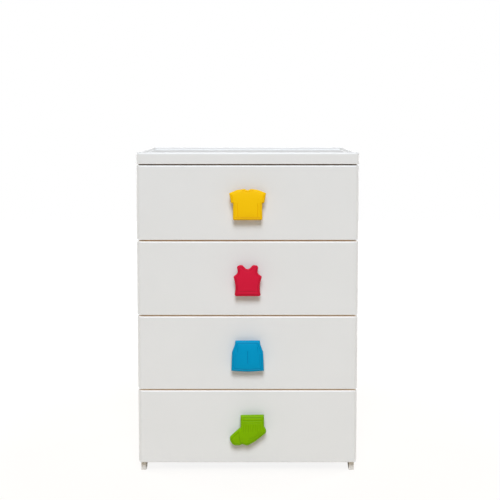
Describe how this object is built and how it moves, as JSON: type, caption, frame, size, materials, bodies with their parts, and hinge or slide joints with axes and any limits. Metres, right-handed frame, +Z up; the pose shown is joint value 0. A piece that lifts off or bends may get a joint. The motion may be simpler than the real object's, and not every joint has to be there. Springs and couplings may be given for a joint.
{
  "type": "chest of drawers",
  "caption": "Free-standing plastic chest of stacked full-width drawers for children's clothes, with garment-shaped pulls, a tray-shaped top and short legs.",
  "frame": {"origin": "on the floor, in the middle of the overall width and depth", "axes": "+X to the right as one faces the chest, +Y towards its back, +Z up"},
  "size_m": [0.555, 0.42, 0.815],
  "materials": {
    "white_shell": "satin",
    "ivory_carcass": "satin",
    "natural_box": "satin",
    "shirt_plastic": "satin",
    "vest_plastic": "satin",
    "skirt_plastic": "satin",
    "sock_plastic": "satin",
    "zinc_screw": "zinc plated"
  },
  "bodies": {
    "case": {"top_panel": "white_shell", "side_panel_left": "ivory_carcass", "side_panel_right": "ivory_carcass", "back_panel": "ivory_carcass", "divider_frame_1": "ivory_carcass", "divider_frame_2": "ivory_carcass", "divider_frame_3": "ivory_carcass", "base_frame": "ivory_carcass"},
    "drawer_1": {"drawer_1_front": "white_shell", "drawer_1_box": "natural_box", "shirt_pull": "shirt_plastic", "drawer_1_pull_screws": "zinc_screw"},
    "drawer_2": {"drawer_2_front": "white_shell", "drawer_2_box": "natural_box", "vest_pull": "vest_plastic", "drawer_2_pull_screws": "zinc_screw"},
    "drawer_3": {"drawer_3_front": "white_shell", "drawer_3_box": "natural_box", "skirt_pull": "skirt_plastic", "drawer_3_pull_screws": "zinc_screw"},
    "drawer_4": {"drawer_4_front": "white_shell", "drawer_4_box": "natural_box", "sock_pull": "sock_plastic", "drawer_4_pull_screws": "zinc_screw"}
  },
  "joints": [
    {"name": "drawer_1_slide", "type": "slide", "parent": "case", "child": "drawer_1", "axis": [0, -1, 0], "range_m": [0, 0.27]},
    {"name": "drawer_2_slide", "type": "slide", "parent": "case", "child": "drawer_2", "axis": [0, -1, 0], "range_m": [0, 0.27]},
    {"name": "drawer_3_slide", "type": "slide", "parent": "case", "child": "drawer_3", "axis": [0, -1, 0], "range_m": [0, 0.27]},
    {"name": "drawer_4_slide", "type": "slide", "parent": "case", "child": "drawer_4", "axis": [0, -1, 0], "range_m": [0, 0.27]}
  ]
}
